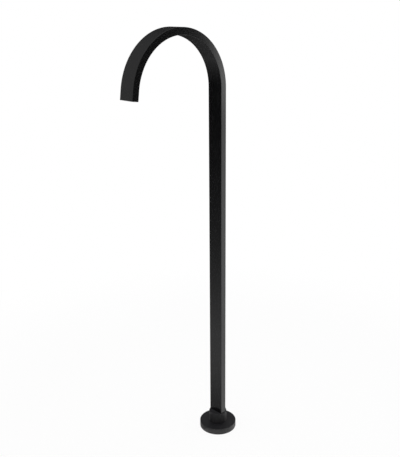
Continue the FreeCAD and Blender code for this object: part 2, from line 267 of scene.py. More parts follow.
turned_stainless, tree = new_finish("turned_stainless_steel")
place = add(tree, "ShaderNodeTexCoord").outputs["Object"]
rings = add(tree, "ShaderNodeTexWave", {
    "Vector": place,
    "Scale": math.pi / 10 / TURNED_RINGS,
    "Distortion": 0.4,
    "Detail": 2.0,
}, wave_type="RINGS", rings_direction="Z")
relief = add(tree, "ShaderNodeBump", {"Height": rings.outputs["Fac"], "Strength": 0.15, "Distance": 0.00003})
shade = add(tree, "ShaderNodeBsdfPrincipled", {
    "Base Color": linear(STAINLESS),
    "Metallic": 1.0,
    "Roughness": 0.32,
    "Normal": relief.outputs["Normal"],
})
add(tree, "ShaderNodeOutputMaterial", {"Surface": shade.outputs["BSDF"]})

plate_low, plate_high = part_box("floor_plate")
blank = turned([
    (PLATE_HOLE, plate_low.z, 0),
    (plate_high.x, plate_low.z, 0),
    (plate_high.x, plate_high.z, PLATE_EDGE),
    (PLATE_HOLE, plate_high.z, 0),
])
recess = prism(regular(2 * RECESS_FLAT / math.sqrt(3), 6), 0, plate_low.z + RECESS_DEPTH)
blank = worked(blank, [recess] + screw_holes(0, 2 * plate_high.z))
plate = finished(blank, "plate_disc", turned_stainless, DRILLED_EDGE)
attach(plate, "floor_kit")
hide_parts("floor_plate")


# --- Spigot -----------------------------------------------------------------------------
# The hollow brass post that the column turns on: a hexagon foot in the plate, a thread for the
# lock nut, a groove for the set screws, two more for O-rings, and the supply's thread inside. It
# is turned and milled from bar, a little dulled by handling.
BRASS = "#C9A462"
BRASS_RINGS = 0.0005        # coarser than the real feed, so that it shows
SPIGOT_RADIUS = 0.0125
SPIGOT_BORE = 0.0080        # radius
SPIGOT_EDGE = 0.0008
FOOT_HEIGHT = 0.0030
FOOT_CORNER = 0.0004
NUT_PITCH = 0.0015
NUT_THREAD = 0.0008         # depth
THREAD_TOP = 0.0138
RING_FLOOR = 0.0104         # radius
RING_GROOVES = ((0.0251, 0.0281), (0.0303, 0.0333))
SET_SCREW_FLOOR = 0.0113    # radius
SET_SCREW_GROOVE = (0.0181, 0.0239)
GROOVE_EDGE = 0.0002
INLET_RADIUS = 0.0093       # crest of the supply thread
INLET_LENGTH = 0.0100
INLET_PITCH = 0.001814      # half inch pipe thread
INLET_THREAD = 0.0011       # depth
RELIEF_RADIUS = 0.0098
RELIEF_TOP = 0.0143
THREAD_RINGS = 6            # rings of points in one turn of a thread
THREAD_FLAT = 0.12          # flat crest and flat root, as a share of the pitch

bare_brass, tree = new_finish("turned_brass")
place = add(tree, "ShaderNodeTexCoord").outputs["Object"]
rings = add(tree, "ShaderNodeTexWave", {
    "Vector": place,
    "Scale": math.pi / 10 / BRASS_RINGS,
    "Distortion": 0.6,
}, wave_type="BANDS", bands_direction="Z")
relief = add(tree, "ShaderNodeBump", {"Height": rings.outputs["Fac"], "Strength": 0.12, "Distance": 0.00003})
shade = add(tree, "ShaderNodeBsdfPrincipled", {
    "Base Color": linear(BRASS),
    "Metallic": 1.0,
    "Roughness": 0.28,
    "Normal": relief.outputs["Normal"],
})
add(tree, "ShaderNodeOutputMaterial", {"Surface": shade.outputs["BSDF"]})


def new_tree(name, sizes):
    """A geometry tree with the named sizes as its inputs."""
    tree = bpy.data.node_groups.new(name, "GeometryNodeTree")
    tree.interface.new_socket("Geometry", in_out="OUTPUT", socket_type="NodeSocketGeometry")
    for size in sizes:
        tree.interface.new_socket(size, in_out="INPUT", socket_type="NodeSocketFloat")
    return tree, add(tree, "NodeGroupInput").outputs


def close_tree(tree, geometry, finish):
    """Ends a tree: what it makes becomes one mesh with a finish."""
    whole = add(tree, "GeometryNodeRealizeInstances", {"Geometry": geometry})
    coated = add(tree, "GeometryNodeSetMaterial", {"Geometry": whole.outputs["Geometry"], "Material": finish})
    add(tree, "NodeGroupOutput", {"Geometry": coated.outputs["Geometry"]})


def calc(tree, operation, *values):
    """The result of one sum on numbers or sockets."""
    return add(tree, "ShaderNodeMath", dict(enumerate(values)), operation=operation).outputs[0]


def grown(tree, sizes):
    """What a geometry tree makes from the given sizes, as a plain mesh."""
    shape = new_shape([])
    growth = shape.modifiers.new("growth", "NODES")
    growth.node_group = tree
    for socket in tree.interface.items_tree:
        if socket.in_out == "INPUT":
            growth[socket.identifier] = float(sizes[socket.name])
    return settled(shape)


# A bar along +Z with a thread down its side. A head, where there is one, is a cone at its start.
threaded_bar, given = new_tree("threaded_bar", (
    "Radius", "Length", "Pitch", "Depth", "Head", "Start", "Sides",
))
turns = calc(threaded_bar, "DIVIDE", given["Length"], given["Pitch"])
bar = add(threaded_bar, "GeometryNodeMeshCylinder", {
    "Vertices": given["Sides"],
    "Side Segments": calc(threaded_bar, "MULTIPLY", turns, THREAD_RINGS),
    "Radius": given["Radius"],
    "Depth": given["Length"],
})
at = add(threaded_bar, "ShaderNodeSeparateXYZ", {
    "Vector": add(threaded_bar, "GeometryNodeInputPosition").outputs["Position"],
}).outputs
height = calc(threaded_bar, "ADD", at["Z"], calc(threaded_bar, "DIVIDE", given["Length"], 2.0))
winding = calc(threaded_bar, "DIVIDE", calc(threaded_bar, "ARCTAN2", at["Y"], at["X"]), math.tau)
phase = calc(threaded_bar, "SUBTRACT", calc(threaded_bar, "DIVIDE", height, given["Pitch"]), winding)
groove = add(threaded_bar, "ShaderNodeMapRange", {
    "Value": calc(threaded_bar, "PINGPONG", phase, 0.5),
    "From Min": THREAD_FLAT / 2,
    "From Max": 0.5 - THREAD_FLAT / 2,
    "To Min": 0.0,
    "To Max": given["Depth"],
}).outputs["Result"]
root = calc(threaded_bar, "SUBTRACT", given["Radius"], given["Depth"])
from_end = calc(threaded_bar, "MINIMUM", height, calc(threaded_bar, "SUBTRACT", given["Length"], height))
bevelled = calc(threaded_bar, "ADD", root, from_end)
cut_side = calc(threaded_bar, "MINIMUM", calc(threaded_bar, "SUBTRACT", given["Radius"], groove), bevelled)
side = calc(threaded_bar, "MAXIMUM", cut_side, calc(threaded_bar, "SUBTRACT", given["Head"], height))
share = calc(threaded_bar, "DIVIDE", side, given["Radius"])
moved = add(threaded_bar, "GeometryNodeSetPosition", {
    "Geometry": bar.outputs["Mesh"],
    "Position": add(threaded_bar, "ShaderNodeCombineXYZ", {
        "X": calc(threaded_bar, "MULTIPLY", at["X"], share),
        "Y": calc(threaded_bar, "MULTIPLY", at["Y"], share),
        "Z": calc(threaded_bar, "ADD", height, given["Start"]),
    }).outputs["Vector"],
})
close_tree(threaded_bar, moved.outputs["Geometry"], bare_brass)

spigot_low, spigot_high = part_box("spigot")
foot_top = spigot_low.z + FOOT_HEIGHT
thread_root = SPIGOT_RADIUS - NUT_THREAD
inlet_top = spigot_low.z + INLET_LENGTH


def groove_corners(floor, low, high):
    """A groove in the spigot's outline, from its lower corner to its upper one."""
    return [
        (SPIGOT_RADIUS, low, GROOVE_EDGE),
        (floor, low, GROOVE_EDGE),
        (floor, high, GROOVE_EDGE),
        (SPIGOT_RADIUS, high, GROOVE_EDGE),
    ]


blank = turned([
    (SPIGOT_BORE / 2, spigot_low.z, 0),
    (SPIGOT_RADIUS, spigot_low.z, 0),
    (SPIGOT_RADIUS, foot_top, 0),
    (thread_root, foot_top, 0),
    (thread_root, THREAD_TOP, 0),
    (SPIGOT_RADIUS, THREAD_TOP, GROOVE_EDGE),
] + groove_corners(SET_SCREW_FLOOR, *SET_SCREW_GROOVE)
    + groove_corners(RING_FLOOR, *RING_GROOVES[0])
    + groove_corners(RING_FLOOR, *RING_GROOVES[1]) + [
    (SPIGOT_RADIUS, spigot_high.z, SPIGOT_EDGE),
    (SPIGOT_BORE / 2, spigot_high.z, 0),
])
foot = prism([corner[:2] + (FOOT_CORNER,) for corner in regular(spigot_high.x, 6)], spigot_low.z, foot_top)
nut_thread = {
    "Radius": SPIGOT_RADIUS,
    "Length": THREAD_TOP - foot_top + 2 * NUT_THREAD,
    "Pitch": NUT_PITCH,
    "Depth": NUT_THREAD,
    "Head": 0,
    "Start": foot_top - NUT_THREAD,
    "Sides": TURNED_STEPS / 2,
}
blank = worked(blank, [foot, grown(threaded_bar, nut_thread)], "UNION")
inlet_thread = grown(threaded_bar, {
    "Radius": INLET_RADIUS + INLET_THREAD,
    "Length": INLET_LENGTH + 2 * INLET_THREAD,
    "Pitch": INLET_PITCH,
    "Depth": INLET_THREAD,
    "Head": 0,
    "Start": spigot_low.z - 2 * INLET_THREAD,
    "Sides": TURNED_STEPS / 2,
})
spigot = worked(blank, [
    inlet_thread,
    prism(regular(RELIEF_RADIUS, TURNED_STEPS), inlet_top, RELIEF_TOP),
    prism(regular(SPIGOT_BORE, TURNED_STEPS), inlet_top, 2 * spigot_high.z),
])
spigot = finished(spigot, "spigot_post", bare_brass)
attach(spigot, "floor_kit")
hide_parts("spigot")


# --- Lock nut ---------------------------------------------------------------------------
# The thin nut that clamps the spigot to the plate, of the same brass. It is sawn from hexagon
# bar, chamfered at thirty degrees on both faces, and tapped.
NUT_GAP = 0.00005
CHAMFER_CIRCLE = 0.95       # of the width across flats
CHAMFER_SIDES = 96
CHAMFER_RINGS = 24
PAST_THE_FACES = 1.001      # the turned bar is this much taller than the nut
PAST_THE_CORNERS = 1.01     # and this much wider, where no chamfer cuts it

chamfered_nut, given = new_tree("chamfered_nut", ("Corner", "Height", "Start"))
hexagon = add(chamfered_nut, "GeometryNodeMeshCylinder", {
    "Vertices": 6,
    "Radius": given["Corner"],
    "Depth": given["Height"],
})
bar = add(chamfered_nut, "GeometryNodeMeshCylinder", {
    "Vertices": CHAMFER_SIDES,
    "Side Segments": CHAMFER_RINGS,
    "Radius": given["Corner"],
    "Depth": calc(chamfered_nut, "MULTIPLY", given["Height"], PAST_THE_FACES),
})
at = add(chamfered_nut, "ShaderNodeSeparateXYZ", {
    "Vector": add(chamfered_nut, "GeometryNodeInputPosition").outputs["Position"],
}).outputs
half_height = calc(chamfered_nut, "DIVIDE", given["Height"], 2.0)
from_face = calc(chamfered_nut, "SUBTRACT", half_height, calc(chamfered_nut, "ABSOLUTE", at["Z"]))
flat = calc(chamfered_nut, "MULTIPLY", given["Corner"], math.cos(math.radians(30)) * CHAMFER_CIRCLE)
sloped = calc(chamfered_nut, "ADD", flat, calc(chamfered_nut, "MULTIPLY", from_face, math.sqrt(3)))
widest = calc(chamfered_nut, "MULTIPLY", given["Corner"], PAST_THE_CORNERS)
side = calc(chamfered_nut, "MINIMUM", sloped, widest)
share = calc(chamfered_nut, "DIVIDE", side, given["Corner"])
cone = add(chamfered_nut, "GeometryNodeSetPosition", {
    "Geometry": bar.outputs["Mesh"],
    "Position": add(chamfered_nut, "ShaderNodeCombineXYZ", {
        "X": calc(chamfered_nut, "MULTIPLY", at["X"], share),
        "Y": calc(chamfered_nut, "MULTIPLY", at["Y"], share),
        "Z": at["Z"],
    }).outputs["Vector"],
})
common = add(chamfered_nut, "GeometryNodeMeshBoolean", operation="INTERSECT")
for shape in (hexagon.outputs["Mesh"], cone.outputs["Geometry"]):
    chamfered_nut.links.new(shape, common.inputs["Mesh 2"])
lifted = add(chamfered_nut, "GeometryNodeTransform", {
    "Geometry": common.outputs["Mesh"],
    "Translation": add(chamfered_nut, "ShaderNodeCombineXYZ", {
        "Z": calc(chamfered_nut, "ADD", given["Start"], half_height),
    }).outputs["Vector"],
})
close_tree(chamfered_nut, lifted.outputs["Geometry"], bare_brass)

nut_low, nut_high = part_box("lock_nut")
nut_height = nut_high.z - nut_low.z
blank = grown(chamfered_nut, {"Corner": nut_high.x, "Height": nut_height, "Start": nut_low.z})
tap = grown(threaded_bar, nut_thread | {"Radius": SPIGOT_RADIUS + NUT_GAP})
nut = finished(worked(blank, [tap]), "hexagon_lock_nut", bare_brass)
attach(nut, "floor_kit")
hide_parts("lock_nut")


# --- Washers, O-rings and strainer ------------------------------------------------------
# The milky nylon ring that the neck turns on, the spigot's rubber O-rings, the dry, mottled red
# washer of pressed fibre in the supply thread, and the strainer cup above it, of stainless sheet
# that was tumbled with chips after punching, which leaves it silky.
NYLON = "#DDDAD0"
NYLON_CLOUD = 0.0013        # metres across a cloud in its gloss
FIBRE = "#9A3E2C"
FIBRE_DARK = "#7A2F22"
FIBRE_GRAIN = 0.0012
SHEET_STEEL = "#BDBBB6"
TUMBLED_GRAIN = 0.0003      # coarser than the real marks of the chips, so that it shows


def coat_node(node, finish):
    """Gives a node of the frame a finish."""
    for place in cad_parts[node].material_slots:
        place.material = finish


white_nylon, tree = new_finish("moulded_nylon")
place = add(tree, "ShaderNodeTexCoord").outputs["Object"]
cloud = add(tree, "ShaderNodeTexNoise", {"Vector": place, "Scale": 1 / NYLON_CLOUD})
gloss = add(tree, "ShaderNodeMapRange", {"Value": cloud.outputs["Fac"], "To Min": 0.35, "To Max": 0.45})
shade = add(tree, "ShaderNodeBsdfPrincipled", {
    "Base Color": linear(NYLON),
    "Roughness": gloss.outputs["Result"],
    "IOR": 1.53,
})
add(tree, "ShaderNodeOutputMaterial", {"Surface": shade.outputs["BSDF"]})
coat_node("slip_washer", white_nylon)

red_fibre, tree = new_finish("pressed_fibre")
place = add(tree, "ShaderNodeTexCoord").outputs["Object"]
mottle = add(tree, "ShaderNodeTexNoise", {"Vector": place, "Scale": 1 / FIBRE_GRAIN, "Detail": 4.0})
tint = add(tree, "ShaderNodeMix", {
    "Factor": mottle.outputs["Fac"],
    "A": linear(FIBRE_DARK),
    "B": linear(FIBRE),
}, data_type="RGBA")
shade = add(tree, "ShaderNodeBsdfPrincipled", {
    "Base Color": tint.outputs["Result"],
    "Roughness": 0.85,
})
add(tree, "ShaderNodeOutputMaterial", {"Surface": shade.outputs["BSDF"]})
coat_node("inlet_washer", red_fibre)
coat_node("spigot_orings", black_rubber)

tumbled_stainless, tree = new_finish("tumbled_stainless_steel")
place = add(tree, "ShaderNodeTexCoord").outputs["Object"]
grain = add(tree, "ShaderNodeTexNoise", {"Vector": place, "Scale": 1 / TUMBLED_GRAIN, "Detail": 3.0})
gloss = add(tree, "ShaderNodeMapRange", {"Value": grain.outputs["Fac"], "To Min": 0.26, "To Max": 0.38})
relief = add(tree, "ShaderNodeBump", {"Height": grain.outputs["Fac"], "Strength": 0.2, "Distance": 0.00001})
shade = add(tree, "ShaderNodeBsdfPrincipled", {
    "Base Color": linear(SHEET_STEEL),
    "Metallic": 1.0,
    "Roughness": gloss.outputs["Result"],
    "Normal": relief.outputs["Normal"],
})
add(tree, "ShaderNodeOutputMaterial", {"Surface": shade.outputs["BSDF"]})
coat_node("inlet_strainer", tumbled_stainless)


# --- Column and arch --------------------------------------------------------------------
# One brass tube of rectangular section, bent over a former and then coated satin black. The
# coat is smooth to the eye, with a faint orange peel that softens long reflections.
TUBE_DEPTH = 0.016
TUBE_WALL = 0.0015
TUBE_CORNER = 0.0007
TUBE_INNER_CORNER = 0.0005
SPRING_HEIGHT = 0.888       # floor to the arch's centre
ARCH_RADIUS = 0.127         # centre line of the bend
ARCH_SWEEP = math.radians(172)
MOUTH_RUN = 0.022           # straight tube beyond the bend
TUBE_STEP = 0.003           # from one ring of points to the next
MOUTH_EDGE = 0.0003         # rounding of the cut ends
COAT = "#121213"
COAT_PEEL = 0.0009          # width of a dimple of the orange peel
COAT_CLOUD = 0.035          # width of the slow changes in its gloss
HAZE_SPREAD = 0.3           # roughness of the haze


def black_lacquer(name, colour, smooth, dull, haze=0.0):
    """A black coat whose roughness drifts between two values. The haze shows edge-on."""
    finish, tree = new_finish(name)
    place = add(tree, "ShaderNodeTexCoord").outputs["Object"]
    peel = add(tree, "ShaderNodeTexNoise", {"Vector": place, "Scale": 1 / COAT_PEEL, "Detail": 1.0})
    relief = add(tree, "ShaderNodeBump", {
        "Height": peel.outputs["Fac"],
        "Strength": 0.03,
        "Distance": 0.00004,
    })
    cloud = add(tree, "ShaderNodeTexNoise", {"Vector": place, "Scale": 1 / COAT_CLOUD, "Detail": 2.0})
    gloss = add(tree, "ShaderNodeMapRange", {"Value": cloud.outputs["Fac"], "To Min": smooth, "To Max": dull})
    shade = add(tree, "ShaderNodeBsdfPrincipled", {
        "Base Color": linear(colour),
        "Roughness": gloss.outputs["Result"],
        "IOR": 1.5,
        "Normal": relief.outputs["Normal"],
        "Sheen Weight": haze,
        "Sheen Roughness": HAZE_SPREAD,
    })
    add(tree, "ShaderNodeOutputMaterial", {"Surface": shade.outputs["BSDF"]})
    return finish


satin_black = black_lacquer("satin_black_lacquer", COAT, 0.17, 0.21)

bent_tube, given = new_tree("bent_tube", (
    "Width", "Depth", "Wall", "Corner", "Inner Corner", "Foot", "Straight", "Radius", "Sweep", "Run", "Step",
))


def tube_outline(width, depth, corner):
    """A rectangle with rounded corners, to sweep along the tube's line."""
    box = add(bent_tube, "GeometryNodeCurvePrimitiveQuadrilateral", {"Width": width, "Height": depth})
    rounded = add(bent_tube, "GeometryNodeFilletCurve", {
        "Curve": box.outputs["Curve"],
        "Count": 6,
        "Radius": corner,
    }, mode="POLY")
    return rounded.outputs["Curve"]


both_walls = calc(bent_tube, "MULTIPLY", given["Wall"], 2.0)
outer = tube_outline(given["Width"], given["Depth"], given["Corner"])
inner = tube_outline(
    calc(bent_tube, "SUBTRACT", given["Width"], both_walls),
    calc(bent_tube, "SUBTRACT", given["Depth"], both_walls),
    given["Inner Corner"],
)
bend_length = calc(bent_tube, "MULTIPLY", given["Radius"], given["Sweep"])
length = calc(bent_tube, "ADD", calc(bent_tube, "ADD", given["Straight"], bend_length), given["Run"])
far_end = add(bent_tube, "ShaderNodeCombineXYZ", {"Z": length}).outputs["Vector"]
line = add(bent_tube, "GeometryNodeCurvePrimitiveLine", {"End": far_end})
stations = add(bent_tube, "GeometryNodeResampleCurve", {
    "Curve": line.outputs["Curve"],
    "Count": calc(bent_tube, "DIVIDE", length, given["Step"]),
})
walls = [
    add(bent_tube, "GeometryNodeCurveToMesh", {"Curve": stations.outputs["Curve"], "Profile Curve": outline})
    for outline in (outer, inner)
]
outlines = add(bent_tube, "GeometryNodeJoinGeometry")
bent_tube.links.new(outer, outlines.inputs["Geometry"])
bent_tube.links.new(inner, outlines.inputs["Geometry"])
foot_end = add(bent_tube, "GeometryNodeFillCurve", {"Curve": outlines.outputs["Geometry"]})
mouth_end = add(bent_tube, "GeometryNodeTransform", {
    "Geometry": foot_end.outputs["Mesh"],
    "Translation": far_end,
})
joined = add(bent_tube, "GeometryNodeJoinGeometry")
for part in (walls[0], walls[1], foot_end):
    bent_tube.links.new(part.outputs["Mesh"], joined.inputs["Geometry"])
bent_tube.links.new(mouth_end.outputs["Geometry"], joined.inputs["Geometry"])
merged = add(bent_tube, "GeometryNodeMergeByDistance", {
    "Geometry": joined.outputs["Geometry"],
    "Distance": 0.00001,
})
# The bend: what lies beyond the upright turns about the former, and then runs on straight.
along = add(bent_tube, "ShaderNodeSeparateXYZ", {
    "Vector": add(bent_tube, "GeometryNodeInputPosition").outputs["Position"],
}).outputs
beyond = calc(bent_tube, "MAXIMUM", calc(bent_tube, "SUBTRACT", along["Z"], given["Straight"]), 0.0)
turn = calc(bent_tube, "MINIMUM", calc(bent_tube, "DIVIDE", beyond, given["Radius"]), given["Sweep"])
run_on = calc(bent_tube, "MAXIMUM", calc(bent_tube, "SUBTRACT", beyond, bend_length), 0.0)
cosine = calc(bent_tube, "COSINE", turn)
sine = calc(bent_tube, "SINE", turn)
arm = calc(bent_tube, "ADD", along["Y"], given["Radius"])
upright = calc(bent_tube, "ADD", calc(bent_tube, "MINIMUM", along["Z"], given["Straight"]), given["Foot"])
back_swing = calc(bent_tube, "SUBTRACT", calc(bent_tube, "MULTIPLY", arm, cosine), given["Radius"])
rise = calc(bent_tube, "ADD", calc(bent_tube, "MULTIPLY", arm, sine), upright)
bent_place = add(bent_tube, "ShaderNodeCombineXYZ", {
    "X": along["X"],
    "Y": calc(bent_tube, "SUBTRACT", back_swing, calc(bent_tube, "MULTIPLY", run_on, sine)),
    "Z": calc(bent_tube, "ADD", rise, calc(bent_tube, "MULTIPLY", run_on, cosine)),
})
bent = add(bent_tube, "GeometryNodeSetPosition", {
    "Geometry": merged.outputs["Geometry"],
    "Position": bent_place.outputs["Vector"],
})
close_tree(bent_tube, bent.outputs["Geometry"], satin_black)

tube_low, tube_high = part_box("spout_tube")
tube = grown(bent_tube, {
    "Width": tube_high.x - tube_low.x,
    "Depth": TUBE_DEPTH,
    "Wall": TUBE_WALL,
    "Corner": TUBE_CORNER,
    "Inner Corner": TUBE_INNER_CORNER,
    "Foot": tube_low.z,
    "Straight": SPRING_HEIGHT - tube_low.z,
    "Radius": ARCH_RADIUS,
    "Sweep": ARCH_SWEEP,
    "Run": MOUTH_RUN,
    "Step": TUBE_STEP,
})
column = finished(tube, "column_and_arch", satin_black, MOUTH_EDGE)
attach(column, "spout")
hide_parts("spout_tube")


# --- Neck -------------------------------------------------------------------------------
# The round socket that the column's foot is brazed into, turned from brass bar. Its black coat
# is powdery and duller here, with a haze at its sides, and greyer than the column's: the greyer
# colour is painted light, which lifts the neck out of the shade where it stands in the cover.
# The top edge is broken with a small round, and two cross holes in the back hold set screws.
# a lighter black than the column's coat: painted light on the neck, against the shade at its foot
NECK_COAT_PAINTED_LIGHT = "#222224"
NECK_EDGE = 0.0010
NECK_ROOM = 0.0195          # radius, round the nut
NECK_ROOM_TOP = 0.0140
NECK_BORE = 0.01255         # radius
POCKET_FLOOR = 0.0365
POCKET_GAP = 0.00005
CROSS_HOLE = 0.00255        # radius
CROSS_HEIGHT = 0.021
CROSS_TURN = math.radians(30)

# The same coat as the column's in truth; its lighter colour here is painted light.
neck_black_painted_light = black_lacquer("neck_coat_painted_light", NECK_COAT_PAINTED_LIGHT, 0.56, 0.62, 0.14)

neck_low, neck_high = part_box("base_socket")
neck_radius = neck_high.x
blank = turned([
    (NECK_BORE / 2, neck_low.z, 0),
    (neck_radius, neck_low.z, 0),
    (neck_radius, neck_high.z, NECK_EDGE),
    (NECK_BORE / 2, neck_high.z, 0),
])
hollows = [
    prism(regular(NECK_ROOM, TURNED_STEPS), 0, NECK_ROOM_TOP),
    prism(regular(NECK_BORE, TURNED_STEPS), 0, POCKET_FLOOR),
]
half_width = tube_high.x + POCKET_GAP
half_depth = TUBE_DEPTH / 2 + POCKET_GAP
corner = TUBE_CORNER + POCKET_GAP
hollows.append(prism([
    (-half_width, -half_depth, corner),
    (half_width, -half_depth, corner),
    (half_width, half_depth, corner),
    (-half_width, half_depth, corner),
], POCKET_FLOOR, 2 * neck_high.z))
for side in (-1, 1):
    hole = prism(regular(CROSS_HOLE, HOLE_SIDES), NECK_BORE / 2, 2 * neck_radius)
    aim = Matrix.Rotation(side * CROSS_TURN, 4, "Z") @ Matrix.Rotation(math.radians(-90), 4, "X")
    hole.data.transform(Matrix.Translation((0, 0, CROSS_HEIGHT)) @ aim)
    hollows.append(hole)
neck = finished(worked(blank, hollows), "neck", neck_black_painted_light)
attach(neck, "spout")
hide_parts("base_socket")


# --- Set screws -------------------------------------------------------------------------
# Two M5 steel set screws in the back of the neck that lock it on the spigot. They are blackened
# in a hot oxide bath, which leaves a thin, slightly oily film over the thread and the socket.
OXIDE = "#1B1B1D"
OXIDE_FILM = 0.0011         # metres across a patch of the oil film
SET_RADIUS = 0.0025
SET_LENGTH = 0.0100
SET_PITCH = 0.0008
SET_THREAD = 0.00045        # depth
SET_KEY = 0.0025            # across flats
SET_KEY_DEPTH = 0.0030
SET_TIP = 0.0116            # from the column's axis
SCREW_SIDES = 36

black_oxide, tree = new_finish("blackened_steel")
place = add(tree, "ShaderNodeTexCoord").outputs["Object"]
film = add(tree, "ShaderNodeTexNoise", {"Vector": place, "Scale": 1 / OXIDE_FILM, "Detail": 3.0})
gloss = add(tree, "ShaderNodeMapRange", {"Value": film.outputs["Fac"], "To Min": 0.35, "To Max": 0.5})
shade = add(tree, "ShaderNodeBsdfPrincipled", {
    "Base Color": linear(OXIDE),
    "Metallic": 0.6,
    "Roughness": gloss.outputs["Result"],
})
add(tree, "ShaderNodeOutputMaterial", {"Surface": shade.outputs["BSDF"]})

# A pair of screws along +Z with hexagon sockets at their start, set apart or turned apart.
socket_screws, given = new_tree("socket_screws", (
    "Radius", "Length", "Pitch", "Depth", "Head", "Sides", "Key", "Key Depth", "Start", "Spread", "Turn",
))
bar = add(socket_screws, "GeometryNodeGroup", node_tree=threaded_bar)
for size in ("Radius", "Length", "Pitch", "Depth", "Head", "Sides"):
    socket_screws.links.new(given[size], bar.inputs[size])
key = add(socket_screws, "GeometryNodeMeshCylinder", {
    "Vertices": 6,
    "Radius": calc(socket_screws, "DIVIDE", given["Key"], math.sqrt(3)),
    "Depth": calc(socket_screws, "MULTIPLY", given["Key Depth"], 2.0),
})
screw = add(socket_screws, "GeometryNodeMeshBoolean", {
    "Mesh 1": bar.outputs["Geometry"],
    "Mesh 2": key.outputs["Mesh"],
}, operation="DIFFERENCE")
pair = add(socket_screws, "GeometryNodeJoinGeometry")
for side in (-1.0, 1.0):
    set_apart = add(socket_screws, "GeometryNodeTransform", {
        "Geometry": screw.outputs["Mesh"],
        "Translation": add(socket_screws, "ShaderNodeCombineXYZ", {
            "X": calc(socket_screws, "MULTIPLY", given["Spread"], side),
            "Z": given["Start"],
        }).outputs["Vector"],
    })
    turned_apart = add(socket_screws, "GeometryNodeTransform", {
        "Geometry": set_apart.outputs["Geometry"],
        "Rotation": add(socket_screws, "ShaderNodeCombineXYZ", {
            "Y": calc(socket_screws, "MULTIPLY", given["Turn"], side),
        }).outputs["Vector"],
    })
    socket_screws.links.new(turned_apart.outputs["Geometry"], pair.inputs["Geometry"])
close_tree(socket_screws, pair.outputs["Geometry"], black_oxide)

pair_of_screws = grown(socket_screws, {
    "Radius": SET_RADIUS,
    "Length": SET_LENGTH,
    "Pitch": SET_PITCH,
    "Depth": SET_THREAD,
    "Head": 0,
    "Sides": SCREW_SIDES,
    "Key": SET_KEY,
    "Key Depth": SET_KEY_DEPTH,
    "Start": -SET_TIP - SET_LENGTH,
    "Spread": 0,
    "Turn": CROSS_TURN,
})
aim_back = Matrix.Rotation(math.radians(90), 4, "X")
pair_of_screws.data.transform(Matrix.Translation((0, 0, CROSS_HEIGHT)) @ aim_back)
set_screws = finished(pair_of_screws, "set_screws", black_oxide)
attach(set_screws, "spout")
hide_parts("grub_screws")


# --- Outlet -----------------------------------------------------------------------------
# A brass frame is brazed into the tube's mouth and coated with it. In it lie a rubber gasket, a
# perforated stainless sheet and, lowest, the straightener that lines up the water: a grid of
# square cells moulded in black acetal, with the soft edges and the sheen of its polished mould.
ACETAL = "#17171A"
ACETAL_SHEEN = 0.0017       # metres across a cloud in its gloss
GRID_WIDTH = 0.0344
GRID_DEPTH = 0.0104
GRID_HEIGHT = 0.0045
GRID_START = 0.0010         # its lower face, above the mouth's plane
GRID_CELL = 0.0022
GRID_PITCH = 0.0030
GRID_COLUMNS = 8
GRID_ROWS = 3
MOULDED_EDGE = 0.00012
SCREW_SPREAD = 0.0150       # from the middle of the mouth to each screw
SINK_HEAD = 0.0020          # radius of the countersink at the grid's face
SINK_SHANK = 0.0011         # radius of the hole
SINK_PAST = 0.0005          # how far the drill starts outside

coat_node("outlet_frame", satin_black)
coat_node("outlet_gasket", black_rubber)
coat_node("outlet_screen", tumbled_stainless)

black_acetal, tree = new_finish("moulded_black_acetal")
place = add(tree, "ShaderNodeTexCoord").outputs["Object"]
sheen = add(tree, "ShaderNodeTexNoise", {"Vector": place, "Scale": 1 / ACETAL_SHEEN, "Detail": 2.0})
gloss = add(tree, "ShaderNodeMapRange", {"Value": sheen.outputs["Fac"], "To Min": 0.38, "To Max": 0.5})
shade = add(tree, "ShaderNodeBsdfPrincipled", {
    "Base Color": linear(ACETAL),
    "Roughness": gloss.outputs["Result"],
    "IOR": 1.48,
})
add(tree, "ShaderNodeOutputMaterial", {"Surface": shade.outputs["BSDF"]})

# A block with rows of square cells, which the mould's pins leave open from face to face.
moulded_grid, given = new_tree("moulded_grid", (
    "Width", "Depth", "Height", "Start", "Pitch", "Cell", "Columns", "Rows",
))
block = add(moulded_grid, "GeometryNodeMeshCube", {
    "Size": add(moulded_grid, "ShaderNodeCombineXYZ", {
        "X": given["Width"],
        "Y": given["Depth"],
        "Z": given["Height"],
    }).outputs["Vector"],
})
steps_across = calc(moulded_grid, "SUBTRACT", given["Columns"], 1.0)
steps_deep = calc(moulded_grid, "SUBTRACT", given["Rows"], 1.0)
centres = add(moulded_grid, "GeometryNodeMeshGrid", {
    "Size X": calc(moulded_grid, "MULTIPLY", given["Pitch"], steps_across),
    "Size Y": calc(moulded_grid, "MULTIPLY", given["Pitch"], steps_deep),
    "Vertices X": given["Columns"],
    "Vertices Y": given["Rows"],
})
pin = add(moulded_grid, "GeometryNodeMeshCube", {
    "Size": add(moulded_grid, "ShaderNodeCombineXYZ", {
        "X": given["Cell"],
        "Y": given["Cell"],
        "Z": calc(moulded_grid, "MULTIPLY", given["Height"], 2.0),
    }).outputs["Vector"],
})
pins = add(moulded_grid, "GeometryNodeInstanceOnPoints", {
    "Points": centres.outputs["Mesh"],
    "Instance": pin.outputs["Mesh"],
})
cores = add(moulded_grid, "GeometryNodeRealizeInstances", {"Geometry": pins.outputs["Instances"]})
grid = add(moulded_grid, "GeometryNodeMeshBoolean", {
    "Mesh 1": block.outputs["Mesh"],
    "Mesh 2": cores.outputs["Geometry"],
}, operation="DIFFERENCE")
raised = add(moulded_grid, "GeometryNodeTransform", {
    "Geometry": grid.outputs["Mesh"],
    "Translation": add(moulded_grid, "ShaderNodeCombineXYZ", {
        "Z": calc(moulded_grid, "ADD", given["Start"], calc(moulded_grid, "DIVIDE", given["Height"], 2.0)),
    }).outputs["Vector"],
})
close_tree(moulded_grid, raised.outputs["Geometry"], black_acetal)

